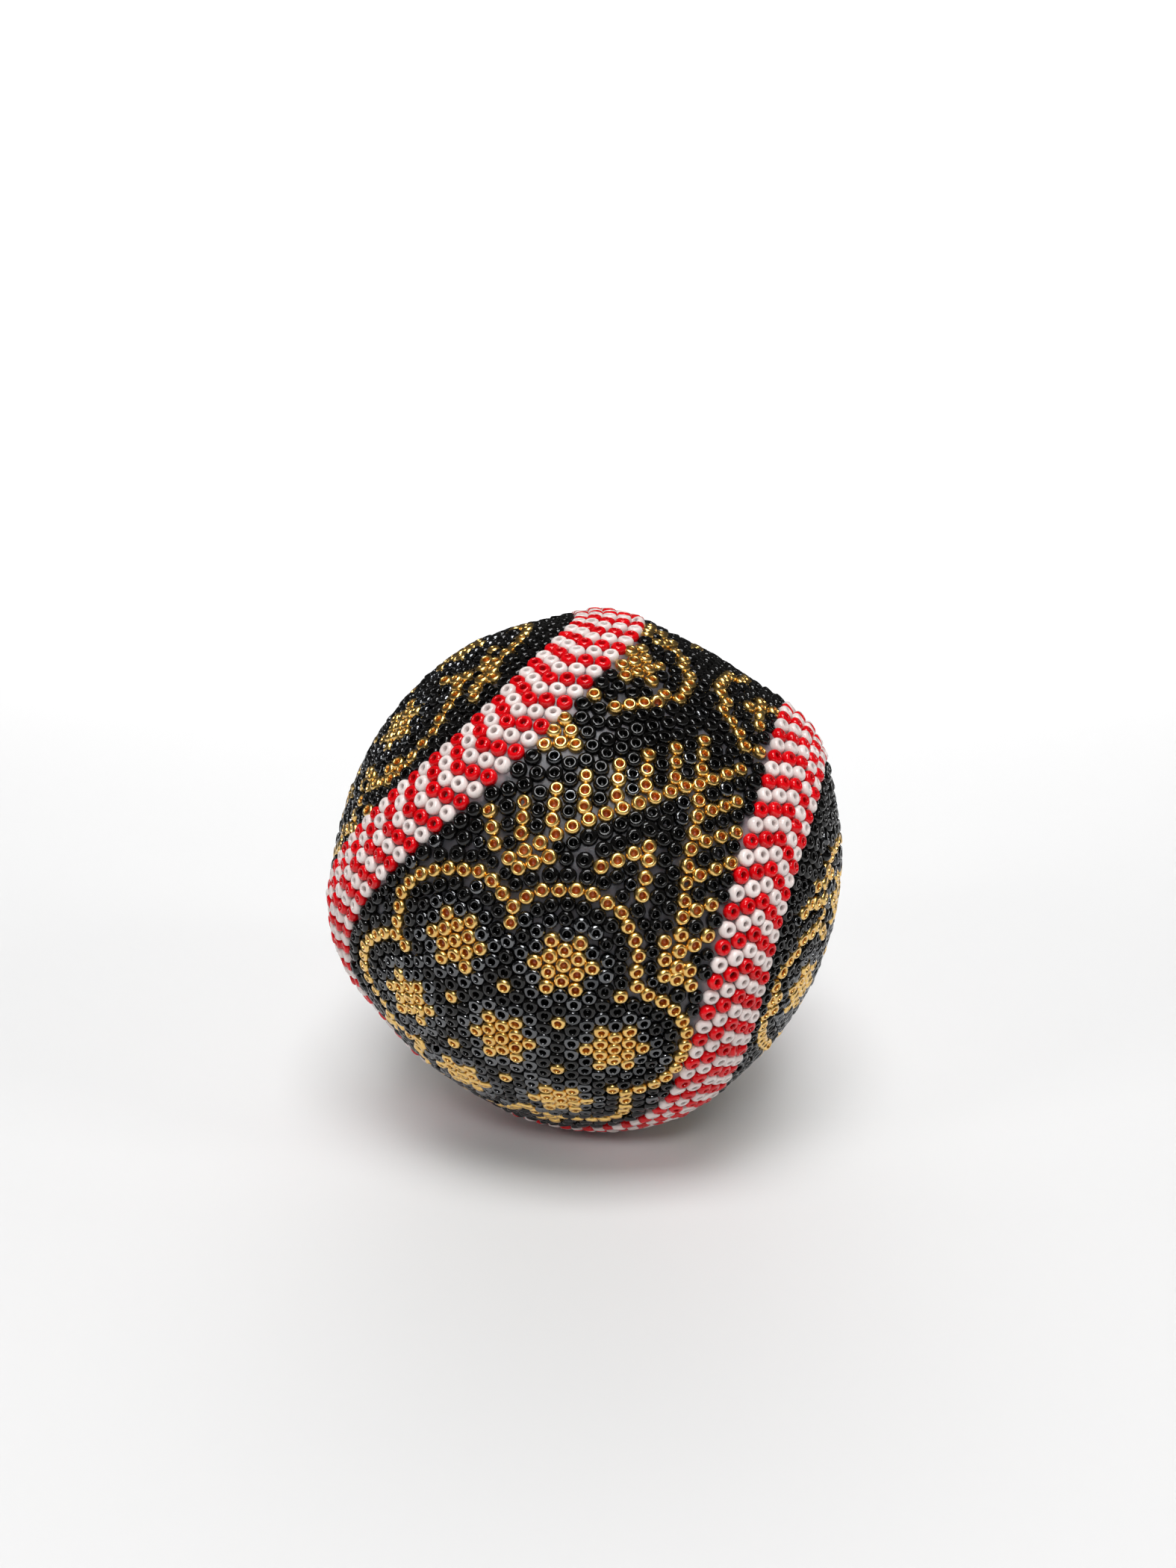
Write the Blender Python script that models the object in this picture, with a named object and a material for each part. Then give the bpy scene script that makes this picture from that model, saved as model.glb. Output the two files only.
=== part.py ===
"""A bead-covered ball: a regulation baseball, coated with beeswax and set all over with glass seed beads.

Modelled from the inside out as separate closed solids: cork and rubber centre, four windings, two leather
panels laced along the seam, the wax coat, and the bead groups (seam band, black fields, gold figures).
Every shape is worked out in the seam's own frame, where the seam curve has its simplest formula, and is
then turned to the way the ball lies. The origin is the ball's centre and +Z is up.
"""

import math

import bmesh
import bpy
from mathutils import Euler, Matrix, Vector

MM = 0.001
GAP = 0.3 * MM

# Driving radii, from the middle outwards
CORK_R = 10.3 * MM
BLACK_RUBBER_R = (10.9 * MM, 14.2 * MM)
RED_RUBBER_R = (14.5 * MM, 17.4 * MM)
WINDING_R = (
    (18.0 * MM, 30.6 * MM),
    (30.9 * MM, 32.4 * MM),
    (32.7 * MM, 34.1 * MM),
    (34.4 * MM, 34.8 * MM),
)
LEATHER_R = (35.5 * MM, 36.5 * MM)
WAX_BED_R = (37.15 * MM, 37.75 * MM)
FIELD_BASE_R = 38.35 * MM
PANEL_R = 39.5 * MM
GASKET_THICKNESS = 1.0 * MM
SHELL_SEGMENTS = 16
SHELL_STEPS = 4
BALL_SUBDIVISIONS = 3

# The seam: a closed curve that swings between SEAM_POLE and its mirror angle
SEAM_POLE = 0.41
SEAM_SWING = 0.41
SEAM_LENGTH_T = 4 * math.pi
SEAM_SAMPLES = 720
TANGENT_STEP = 1e-4
SEAM_TURN = Euler([math.radians(a) for a in (8.5, 29.2, -9.8)], "XYZ").to_matrix()

# The ridge that the lacing and the thicker wax raise along the seam
RIDGE_HEIGHT = 1.9 * MM
RIDGE_SPREAD = 7.5 * MM
BAND_HALF_WIDTH = 5.85 * MM
BEAD_LAYER = 1.25 * MM
WAX_RIDGE_BASE_R = 37.9 * MM
BAND_SEGMENTS = 64
BAND_CELLS = 4

# Red lacing thread, zigzag across the seam
THREAD_R = 37.15 * MM
THREAD_RADIUS = 0.3 * MM
THREAD_REACH = 3.2 * MM
THREAD_STITCHES = 108
THREAD_SIDES = 4

# Panel grids
OUTLINE_STEPS = 180
PANEL_ROWS = 32
PANEL_COLS = 6
LOBE_ROWS = 9
WAIST_ROWS = 10
BORDER_WIDTH = 2.4 * MM

# The scalloped border between a lobe's flower field and the waist: one tall arch, a low one on each side
ARCH_CUSP = math.radians(79)
ARCH_CUSPS_AT = (-0.26, 0.44)
ARCH_HEIGHTS = [math.radians(a) for a in (6, 16, 3)]
ARCH_COLUMNS = (4, 6, 4)

# Flowers: a hexagonal lattice of seven in the middle of each lobe
LOBE_CENTRE = math.radians(100)
FLOWER_SPACING = math.radians(23.3)
FLOWER_LATTICE_TURN = math.radians(85)
FLOWER_OFFSET = (math.radians(2.0), math.radians(-1.0))
FLOWER_TIP = 6.9 * MM / PANEL_R
FLOWER_NOTCH = 4.0 * MM / PANEL_R
FLOWER_POINTS = 6
CUTTER_R = (36.5 * MM, 44.0 * MM)

MERGE_DISTANCE = 1e-5
SHARP_ANGLE = math.radians(40)

HALF_TURN_Z = Matrix.Rotation(math.pi, 3, "Z")
PANEL_SWAP = Matrix.Rotation(math.pi, 3, Vector((1, 1, 0)))
PANELS = {"a": Matrix.Identity(3), "b": PANEL_SWAP}
LOBES = {
    "a1": Matrix.Identity(3),
    "a2": HALF_TURN_Z,
    "b1": PANEL_SWAP,
    "b2": PANEL_SWAP @ HALF_TURN_Z,
}

MATERIALS = {
    "cork": ((0.42, 0.25, 0.13), 0.85, 0.0),
    "black_rubber": ((0.02, 0.02, 0.022), 0.6, 0.0),
    "red_rubber": ((0.45, 0.06, 0.05), 0.55, 0.0),
    "grey_wool": ((0.38, 0.37, 0.36), 0.95, 0.0),
    "white_wool": ((0.78, 0.76, 0.70), 0.95, 0.0),
    "cotton": ((0.85, 0.84, 0.80), 0.9, 0.0),
    "leather": ((0.82, 0.79, 0.72), 0.5, 0.0),
    "red_thread": ((0.60, 0.03, 0.03), 0.7, 0.0),
    "beeswax": ((0.55, 0.48, 0.42), 0.45, 0.0),
    "red_white_beads": ((0.80, 0.35, 0.33), 0.12, 0.0),
    "black_beads": ((0.012, 0.012, 0.014), 0.1, 0.0),
    "gold_beads": ((0.85, 0.55, 0.20), 0.18, 1.0),
}


# ---- the seam curve and the frames on it ----


def direction(polar, azimuth):
    """Unit vector from the seam frame's polar angle and azimuth."""
    return Vector(
        (
            math.sin(polar) * math.cos(azimuth),
            math.sin(polar) * math.sin(azimuth),
            math.cos(polar),
        )
    )


def seam(t):
    """Point of the seam on the unit sphere; t runs from 0 to SEAM_LENGTH_T."""
    polar = math.pi / 2 - (math.pi / 2 - SEAM_POLE) * math.cos(t)
    azimuth = t / 2 + SEAM_SWING * math.sin(2 * t)
    return direction(polar, azimuth)


def seam_side(t):
    """Unit vector across the seam at t, in the surface, pointing into panel a."""
    along = (seam(t + TANGENT_STEP) - seam(t - TANGENT_STEP)).normalized()
    return along.cross(seam(t)).normalized() * -1


def beside_seam(t, angle):
    """Point of the unit sphere at an angle from the seam, positive into panel a."""
    return seam(t) * math.cos(angle) + seam_side(t) * math.sin(angle)


SEAM_POINTS = [seam(SEAM_LENGTH_T * i / SEAM_SAMPLES) for i in range(SEAM_SAMPLES)]


def seam_distance(point):
    """Distance along the surface from a unit vector to the seam."""
    nearest = max(point.dot(other) for other in SEAM_POINTS)
    return math.acos(min(1.0, nearest)) * PANEL_R


def bead_top(distance):
    """Radius of the bead tops at a distance from the seam."""
    return PANEL_R + RIDGE_HEIGHT * math.exp(-((distance / RIDGE_SPREAD) ** 2))


# ---- a panel's own grid: angle along the panel, share of the half width across it ----


def panel_outline(margin):
    """(angle along, half width) pairs from the waist to a lobe's tip, a margin inside the seam."""
    pairs = []
    for i in range(OUTLINE_STEPS + 1):
        point = beside_seam(math.pi * i / OUTLINE_STEPS, margin / PANEL_R)
        pairs.append((math.atan2(point.y, point.z), math.asin(min(1.0, abs(point.x)))))
    return pairs


def half_width(outline, along):
    """Half width of the panel at an angle along it, by linear interpolation."""
    along = abs(along)
    for (a0, w0), (a1, w1) in zip(outline, outline[1:]):
        if a0 <= along <= a1:
            return w0 + (w1 - w0) * (along - a0) / max(a1 - a0, 1e-9)
    return 0.0


def panel_point(outline, along, share):
    """Unit vector at an angle along the panel and a share, from -1 to 1, of its half width."""
    across = share * half_width(outline, along)
    return Vector(
        (
            math.sin(across),
            math.cos(across) * math.sin(along),
            math.cos(across) * math.cos(along),
        )
    )


def arch_line():
    """The scalloped border: (share of the half width, angle along the panel) pairs, left to right."""
    ends = (-1.0, *ARCH_CUSPS_AT, 1.0)
    pairs = [(-1.0, ARCH_CUSP)]
    for left, right, height, columns in zip(ends, ends[1:], ARCH_HEIGHTS, ARCH_COLUMNS):
        for i in range(1, columns + 1):
            turn = math.pi * i / columns
            share = (left + right) / 2 - (right - left) / 2 * math.cos(turn)
            pairs.append((share, ARCH_CUSP - height * math.sin(turn)))
    return pairs


# ---- building solids ----


def make_material(name):
    colour, roughness, metallic = MATERIALS[name]
    material = bpy.data.materials.new(name)
    material.use_nodes = True
    shader = material.node_tree.nodes["Principled BSDF"]
    shader.inputs["Base Color"].default_value = (*colour, 1.0)
    shader.inputs["Roughness"].default_value = roughness
    shader.inputs["Metallic"].default_value = metallic
    material.diffuse_color = (*colour, 1.0)
    return material


def add_object(name, bm, material, smooth=True):
    """Turn a bmesh in the seam frame into an object that lies as the ball lies."""
    bmesh.ops.remove_doubles(bm, verts=bm.verts, dist=MERGE_DISTANCE)
    bmesh.ops.recalc_face_normals(bm, faces=bm.faces)
    bm.transform(SEAM_TURN.to_4x4())
    mesh = bpy.data.meshes.new(name)
    bm.to_mesh(mesh)
    bm.free()
    if smooth:
        mesh.shade_smooth()
        mesh.set_sharp_from_angle(angle=SHARP_ANGLE)
    if material is not None:
        mesh.materials.append(material)
    obj = bpy.data.objects.new(name, mesh)
    bpy.context.scene.collection.objects.link(obj)
    return obj


def slab(directions, outer, inner, turn):
    """Closed slab over a grid of directions, between the radii outer(d) and inner(d)."""
    bm = bmesh.new()
    top = [[bm.verts.new(turn @ (d * outer(d))) for d in row] for row in directions]
    low = [[bm.verts.new(turn @ (d * inner(d))) for d in row] for row in directions]
    rows, cols = len(top) - 1, len(top[0]) - 1
    for i in range(rows):
        for j in range(cols):
            bm.faces.new((top[i][j], top[i][j + 1], top[i + 1][j + 1], top[i + 1][j]))
            bm.faces.new((low[i][j], low[i + 1][j], low[i + 1][j + 1], low[i][j + 1]))
    rim = [(0, j) for j in range(cols)] + [(i, cols) for i in range(rows)]
    rim += [(rows, j) for j in range(cols, 0, -1)] + [(i, 0) for i in range(rows, 0, -1)]
    for (i, j), (k, m) in zip(rim, rim[1:] + rim[:1]):
        bm.faces.new((top[i][j], low[i][j], low[k][m], top[k][m]))
    return bm


def ring_slab(cells, outer, inner):
    """Closed ring along the whole seam, its section a row of offsets across the seam."""
    bm = bmesh.new()
    loops = []
    for i in range(BAND_SEGMENTS):
        t = SEAM_LENGTH_T * i / BAND_SEGMENTS
        spots = [(beside_seam(t, offset / PANEL_R), abs(offset)) for offset in cells]
        section = [d * outer(w) for d, w in spots] + [d * inner(w) for d, w in reversed(spots)]
        loops.append([bm.verts.new(point) for point in section])
    for a, b in zip(loops, loops[1:] + loops[:1]):
        for j in range(len(a)):
            k = (j + 1) % len(a)
            bm.faces.new((a[j], a[k], b[k], b[j]))
    return bm


def turned(profile):
    """Solid of revolution about Z from a closed (radius, height) profile."""
    bm = bmesh.new()
    rings = []
    for i in range(SHELL_SEGMENTS):
        angle = 2 * math.pi * i / SHELL_SEGMENTS
        rings.append([bm.verts.new((r * math.cos(angle), r * math.sin(angle), z)) for r, z in profile])
    for a, b in zip(rings, rings[1:] + rings[:1]):
        for j in range(len(profile)):
            k = (j + 1) % len(profile)
            if profile[j][0] > 0 or profile[k][0] > 0:
                bm.faces.new((a[j], a[k], b[k], b[j]))
    return bm


def half_shell(inner_r, outer_r, rim, side):
    """Hemispherical shell that stops at a height rim from the middle plane; side is 1 or -1."""
    profile = []
    for radius, backwards in ((outer_r, False), (inner_r, True)):
        low = math.asin(rim / radius)
        arc = [low + (math.pi / 2 - low) * i / SHELL_STEPS for i in range(SHELL_STEPS + 1)]
        points = [(radius * math.cos(a), side * radius * math.sin(a)) for a in arc]
        points[-1] = (0.0, side * radius)
        profile += reversed(points) if backwards else points
    return turned(profile)


def winding_shell(inner_r, outer_r):
    """Wound ball: a geodesic shell with a small hole where the yarn's end comes out."""
    bm = bmesh.new()
    for radius in (outer_r, inner_r):
        bmesh.ops.create_icosphere(bm, subdivisions=BALL_SUBDIVISIONS, radius=radius)
    bm.faces.ensure_lookup_table()
    half = len(bm.faces) // 2
    openings = [bm.faces[0], bm.faces[half]]
    (a, b, c), (d, e, f) = [list(face.verts) for face in openings]
    bmesh.ops.reverse_faces(bm, faces=bm.faces[half:])
    bmesh.ops.delete(bm, geom=openings, context="FACES_ONLY")
    for corners in ((a, b, e, d), (b, c, f, e), (c, a, d, f)):
        bm.faces.new(corners)
    return bm


def thread_tube(points):
    """Closed round tube of thread along a closed loop of points."""
    bm = bmesh.new()
    loops = []
    count = len(points)
    for i, point in enumerate(points):
        along = (points[(i + 1) % count] - points[i - 1]).normalized()
        out = point.normalized()
        across = along.cross(out).normalized()
        out = across.cross(along).normalized()
        ring = []
        for j in range(THREAD_SIDES):
            angle = 2 * math.pi * (j + 0.5) / THREAD_SIDES
            arm = across * math.cos(angle) + out * math.sin(angle)
            ring.append(bm.verts.new(point + arm * THREAD_RADIUS))
        loops.append(ring)
    for a, b in zip(loops, loops[1:] + loops[:1]):
        for j in range(THREAD_SIDES):
            k = (j + 1) % THREAD_SIDES
            bm.faces.new((a[j], a[k], b[k], b[j]))
    return bm


# ---- the centre and the windings ----


def make_centre(paint):
    bm = bmesh.new()
    bmesh.ops.create_icosphere(bm, subdivisions=BALL_SUBDIVISIONS, radius=CORK_R)
    add_object("cork_core", bm, paint["cork"])
    rim = GASKET_THICKNESS / 2 + GAP
    for label, side in (("upper", 1), ("lower", -1)):
        shell = half_shell(*BLACK_RUBBER_R, rim, side)
        add_object(f"black_rubber_{label}", shell, paint["black_rubber"])
        cover = half_shell(*RED_RUBBER_R, GAP / 2, side)
        add_object(f"red_rubber_{label}", cover, paint["red_rubber"])
    half = GASKET_THICKNESS / 2
    inner, outer = BLACK_RUBBER_R
    gasket = turned([(outer, half), (outer, -half), (inner, -half), (inner, half)])
    add_object("rubber_gasket", gasket, paint["red_rubber"])


def make_windings(paint):
    yarns = ("grey_wool", "white_wool", "grey_wool", "cotton")
    for number, (yarn, radii) in enumerate(zip(yarns, WINDING_R), start=1):
        add_object(f"winding_{number}", winding_shell(*radii), paint[yarn])


# ---- leather, lacing and wax ----


def whole_panel(margin):
    """Grid of directions over a whole figure-8 panel, from one lobe's tip to the other's."""
    outline = panel_outline(margin)
    tip = outline[-1][0]
    rows = []
    for i in range(PANEL_ROWS + 1):
        t = math.pi * (2 * i / PANEL_ROWS - 1)
        point = beside_seam(abs(t), margin / PANEL_R)
        along = math.copysign(min(tip, math.atan2(point.y, point.z)), t)
        shares = [2 * j / PANEL_COLS - 1 for j in range(PANEL_COLS + 1)]
        rows.append([panel_point(outline, along, share) for share in shares])
    return rows


def make_cover(paint):
    grid = whole_panel(GAP)
    for label, turn in PANELS.items():
        cover = slab(grid, lambda d: LEATHER_R[1], lambda d: LEATHER_R[0], turn)
        add_object(f"leather_panel_{label}", cover, paint["leather"])
    route = []
    for i in range(THREAD_STITCHES):
        reach = THREAD_REACH * (1 if i % 2 else -1)
        spot = beside_seam(SEAM_LENGTH_T * i / THREAD_STITCHES, reach / PANEL_R)
        route.append(spot * THREAD_R)
    add_object("lacing_thread", thread_tube(route), paint["red_thread"])


def make_wax(paint):
    grid = whole_panel(BAND_HALF_WIDTH + GAP)
    for label, turn in PANELS.items():
        bed = slab(grid, lambda d: WAX_BED_R[1], lambda d: WAX_BED_R[0], turn)
        add_object(f"wax_bed_{label}", bed, paint["beeswax"])
    ridge = ring_slab(
        (-BAND_HALF_WIDTH, 0.0, BAND_HALF_WIDTH),
        lambda w: bead_top(w) - BEAD_LAYER - GAP,
        lambda w: WAX_RIDGE_BASE_R,
    )
    add_object("wax_ridge", ridge, paint["beeswax"])


# ---- beads ----


def make_band(paint):
    cells = [BAND_HALF_WIDTH * (2 * j / BAND_CELLS - 1) for j in range(BAND_CELLS + 1)]
    band = ring_slab(cells, bead_top, lambda w: bead_top(w) - BEAD_LAYER)
    add_object("seam_band_beads", band, paint["red_white_beads"])


def lobe_frame():
    """The lobe's own frame: outward, towards the waist, and to the right of that."""
    outward = direction(LOBE_CENTRE, -math.pi / 2)
    upward = direction(LOBE_CENTRE - math.pi / 2, -math.pi / 2)
    return outward, upward, upward.cross(outward)


def lobe_direction(x, y):
    """Unit vector at x to the right and y towards the waist, angles measured from the lobe's centre."""
    outward, upward, right = lobe_frame()
    angle = math.hypot(x, y)
    if angle < 1e-9:
        return outward
    return outward * math.cos(angle) + (right * x + upward * y) * (math.sin(angle) / angle)


def flower_centres():
    """Centres of the seven flowers, as angles in the lobe's frame."""
    centres = [FLOWER_OFFSET]
    for i in range(FLOWER_POINTS):
        angle = FLOWER_LATTICE_TURN + 2 * math.pi * i / FLOWER_POINTS
        x = FLOWER_OFFSET[0] + FLOWER_SPACING * math.cos(angle)
        y = FLOWER_OFFSET[1] + FLOWER_SPACING * math.sin(angle)
        centres.append((x, y))
    return centres


def star(centre, grow, radii, turn):
    """Six-pointed radial prism about a place in the lobe's frame, grown all round by a distance."""
    outline = []
    corners = 2 * FLOWER_POINTS
    for i in range(corners):
        reach = (FLOWER_NOTCH if i % 2 else FLOWER_TIP) + grow / PANEL_R
        angle = FLOWER_LATTICE_TURN + 2 * math.pi * i / corners
        spot = (centre[0] + reach * math.cos(angle), centre[1] + reach * math.sin(angle))
        outline.append(lobe_direction(*spot))
    bm = bmesh.new()
    middle = lobe_direction(*centre)
    low, high = radii
    top = [bm.verts.new(turn @ (d * high)) for d in outline]
    base = [bm.verts.new(turn @ (d * low)) for d in outline]
    crown = bm.verts.new(turn @ (middle * high))
    heart = bm.verts.new(turn @ (middle * low))
    for i in range(corners):
        k = (i + 1) % corners
        bm.faces.new((top[i], top[k], crown))
        bm.faces.new((base[k], base[i], heart))
        bm.faces.new((top[k], top[i], base[i], base[k]))
    return bm


def joined(parts):
    """One bmesh that holds several separate ones."""
    whole = bmesh.new()
    mesh = bpy.data.meshes.new("joined")
    for part in parts:
        part.to_mesh(mesh)
        part.free()
        whole.from_mesh(mesh)
    bpy.data.meshes.remove(mesh)
    return whole


def cut_flowers(field, lobe, turn):
    """Cut the holes that a lobe's flowers sit in, with a gap all round each flower."""
    holes = joined([star(centre, GAP, CUTTER_R, turn) for centre in flower_centres()])
    cutter = add_object(f"flower_cutter_{lobe}", holes, None, smooth=False)
    cutter.hide_render = True
    cutter.display_type = "WIRE"
    cut = field.modifiers.new("flower_holes", "BOOLEAN")
    cut.operation = "DIFFERENCE"
    cut.solver = "EXACT"
    cut.object = cutter


def make_lobe(lobe, turn, outline, paint):
    """A lobe's black flower field, its scalloped gold border and its gold flowers."""
    tip = outline[-1][0]
    arches = arch_line()
    rows = []
    for i in range(LOBE_ROWS + 1):
        depth = math.sin(0.5 * math.pi * i / LOBE_ROWS)
        rows.append([panel_point(outline, -(a + (tip - a) * depth), s) for s, a in arches])
    field = slab(rows, lambda d: bead_top(seam_distance(d)), lambda d: FIELD_BASE_R, turn)
    field = add_object(f"flower_field_{lobe}", field, paint["black_beads"])
    cut_flowers(field, lobe, turn)
    near = (GAP + BORDER_WIDTH) / PANEL_R
    far = GAP / PANEL_R
    strip = [[panel_point(outline, lead - a, s) for s, a in arches] for lead in (near, far)]
    border = slab(strip, lambda d: bead_top(seam_distance(d)), lambda d: FIELD_BASE_R, turn)
    add_object(f"gold_border_{lobe}", border, paint["gold_beads"])
    for number, centre in enumerate(flower_centres(), start=1):
        flower = star(centre, 0.0, (FIELD_BASE_R, PANEL_R), turn)
        add_object(f"gold_flower_{lobe}_{number}", flower, paint["gold_beads"])


def make_waist(panel, turn, outline, paint):
    """The plain black field between a panel's two scalloped borders."""
    back = (2 * GAP + BORDER_WIDTH) / PANEL_R
    near = [(s, back - a) for s, a in arch_line()]
    far = [(-s, -a) for s, a in reversed(near)]
    rows = []
    for i in range(WAIST_ROWS + 1):
        part = i / WAIST_ROWS
        mix = [((1 - part) * s + part * u, (1 - part) * a + part * b) for (s, a), (u, b) in zip(near, far)]
        rows.append([panel_point(outline, along, share) for share, along in mix])
    field = slab(rows, lambda d: bead_top(seam_distance(d)), lambda d: FIELD_BASE_R, turn)
    add_object(f"waist_field_{panel}", field, paint["black_beads"])


def main():
    for obj in list(bpy.data.objects):
        bpy.data.objects.remove(obj, do_unlink=True)
    paint = {name: make_material(name) for name in MATERIALS}
    make_centre(paint)
    make_windings(paint)
    make_cover(paint)
    make_wax(paint)
    make_band(paint)
    outline = panel_outline(BAND_HALF_WIDTH + GAP)
    for panel, turn in PANELS.items():
        make_waist(panel, turn, outline, paint)
    for lobe, turn in LOBES.items():
        make_lobe(lobe, turn, outline, paint)


main()
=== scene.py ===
"""The looks of the bead-covered baseball: every glass bead as its own ring, set in wax, in studio light.

The beads are laid as directions on a unit ball, in the frame of a baseball's seam, and angles between
directions stand for distances. SEAM_TURN turns that frame to the way the ball lies in the photograph.
"""

import math

import bpy
import numpy as np
from mathutils import Euler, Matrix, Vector


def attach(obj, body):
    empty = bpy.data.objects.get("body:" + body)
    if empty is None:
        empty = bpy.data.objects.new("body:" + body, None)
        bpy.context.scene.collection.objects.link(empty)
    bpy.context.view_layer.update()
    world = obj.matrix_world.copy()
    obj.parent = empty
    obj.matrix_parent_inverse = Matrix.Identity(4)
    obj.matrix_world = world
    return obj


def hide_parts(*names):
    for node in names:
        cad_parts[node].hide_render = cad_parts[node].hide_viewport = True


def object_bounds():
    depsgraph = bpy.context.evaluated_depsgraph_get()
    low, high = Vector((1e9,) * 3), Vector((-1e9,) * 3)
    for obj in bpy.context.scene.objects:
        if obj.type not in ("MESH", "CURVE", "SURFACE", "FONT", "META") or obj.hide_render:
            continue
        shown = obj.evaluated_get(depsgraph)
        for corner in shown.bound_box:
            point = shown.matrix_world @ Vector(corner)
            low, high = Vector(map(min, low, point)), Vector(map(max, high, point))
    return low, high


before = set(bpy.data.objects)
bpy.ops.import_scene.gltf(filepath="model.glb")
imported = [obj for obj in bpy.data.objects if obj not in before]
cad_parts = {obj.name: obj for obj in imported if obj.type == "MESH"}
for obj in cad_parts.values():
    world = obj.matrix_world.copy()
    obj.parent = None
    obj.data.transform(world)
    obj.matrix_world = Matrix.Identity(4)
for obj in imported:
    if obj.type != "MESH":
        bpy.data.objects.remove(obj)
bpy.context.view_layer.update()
RNG = np.random.default_rng(11)
MM = 0.001

# ---- sizes that the CAD model has too ----
PANEL_R = 39.5 * MM
RIDGE_HEIGHT = 1.9 * MM
RIDGE_SPREAD = 7.5 * MM
SEAM_POLE = 0.41
SEAM_SWING = 0.41
SEAM_TURN = np.array(Euler([math.radians(a) for a in (8.5, 29.2, -9.8)], "XYZ").to_matrix())
LOBE_CENTRE = 100.0

# ---- the hand-made ball's swells and hollows, which the CAD model leaves out ----
LUMPS = (  # polar and azimuth angle, height in mm, spread in degrees
    (35, -1, 1.4, 20),
    (53, 176, 0.9, 18),
    (110, -151, 0.5, 15),
    (102, -26, 0.4, 15),
    (139, -126, -1.0, 12),
    (153, -93, -1.0, 12),
)

# ---- the seam band: arc lengths on a ball of radius 1, angles in degrees ----
SEAM_POINTS = 2880
BAND_ROWS = 198
BAND_KNOT_ROW = 72  # the rows up to this one are a little wider apart than the others
BAND_START = 6.320
BAND_KNOT = 10.358
BAND_PITCH = 2.95
BAND_SHIFT = -0.35  # the band's middle lies a little beside the seam
CHEVRON_LEAD = (1.0, 0.5, 0.0, 0.5, 1.0)  # rows that each bead of a row lies behind its middle one

# ---- the black beads between the figures ----
PITCH = 3.30  # degrees of arc from one bead to the next on a panel
FIGURE_CLEAR = 0.72  # least room for a bead of each sort beside those already laid, in pitches
STROKE_CLEAR = 0.7
WAIST_CLEAR = 0.6
TOOTH_GAP_CLEAR = 0.9
LATTICE_CLEAR = 0.78
TOUCHING = 0.965  # how close free beads may be laid to each other, in pitches
NESTLE_REACH = 1.9  # how far apart two beads may be for a third one to touch both
CONTACT = 1.15  # beads nearer to each other than this touch, in pitches
MOST_BEADS = 8000
EDGE_GAP = 0.26  # from the band's edge to the nearest black bead's middle, in pitches
GAP_SPOTS = 60000  # directions that are tried for one more bead
GAP_ROOMS = (0.72, 0.74, 0.76, 0.78)  # room that a gap must have for one more bead, round by round
LAST_GAP = 0.69
CROWDED = 0.81  # a free bead with less room than this is taken away
SETTLED = 0.985  # room that every bead is pushed to have
FIRST_ROUNDS = 30
LATER_ROUNDS = 40
HEMATITE_SHARE = 0.06
SEAM_CHUNK = 4000  # directions handled at a time, to keep the tables of angles small
BEAD_CHUNK = 1500
SPOT_CHUNK = 5000

# ---- the shape of a bead ----
JET, HEMATITE, GOLD, RED, WHITE = range(5)
KIND_NAMES = ("jet", "hematite", "gold", "red", "white")
BEAD_SIZES = {  # outer radius, hole radius, height, in mm
    JET: (1.20, 0.40, 1.52),
    HEMATITE: (1.18, 0.41, 1.48),
    GOLD: (1.11, 0.43, 1.46),
    RED: (1.17, 0.37, 1.56),
    WHITE: (1.20, 0.35, 1.60),
}
RING_SEGMENTS = 18
CREST = 0.24  # place of the highest ring between hole and rim
OUTSIDE_ANGLES = (-64, -24, 8, 34, 56, 74, 90)  # rings of a bead's section from below its rim to its crest
INSIDE_ANGLES = (124, 172)  # rings from the crest down into the hole
OUTSIDE_SQUARENESS = 2.3
HOLE_FLOOR = -0.10  # height of the glass seen in the hole, where the crest is at 1
HOLE_DISH = 0.05 * MM
SIZE_SPREAD = 0.02  # spreads of the differences from bead to bead
HEIGHT_SPREAD = 0.05
HOLE_SPREAD = 0.07
OVAL_SPREAD = 0.018
LEAN_SPREAD = 0.08
TOP_SPREAD = 0.04 * MM
TIPPED_SHARE = 0.012
TIPPED_LEAN = 5
FULLEST = 1.03  # relative size of a black bead with room to spare


# ---- directions on the ball, as rows of unit vectors in the seam frame ----


def direction(polar, azimuth):
    """Unit vectors from polar angle and azimuth, in radians."""
    return np.stack(
        [np.sin(polar) * np.cos(azimuth), np.sin(polar) * np.sin(azimuth), np.cos(polar)], -1
    )


def unit(v):
    """Vectors made one long."""
    return v / np.linalg.norm(v, axis=-1, keepdims=True)


def angles(cosines):
    """Angles of cosines that rounding may have put just past 1."""
    return np.arccos(np.clip(cosines, -1, 1))


def seam_curve(count):
    """Points of the seam, the side vectors into panel a, and the arc length at each point."""
    t = np.linspace(0, 4 * math.pi, count, endpoint=False)
    polar = math.pi / 2 - (math.pi / 2 - SEAM_POLE) * np.cos(t)
    azimuth = t / 2 + SEAM_SWING * np.sin(2 * t)
    points = direction(polar, azimuth)
    ahead = np.roll(points, -1, 0)
    side = -unit(np.cross(ahead - np.roll(points, 1, 0), points))
    lengths = np.concatenate([[0], np.cumsum(np.linalg.norm(ahead - points, axis=1))])
    return points, side, lengths


SEAM, SEAM_SIDE, SEAM_LENGTHS = seam_curve(SEAM_POINTS)
SEAM_LENGTH = SEAM_LENGTHS[-1]


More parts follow.
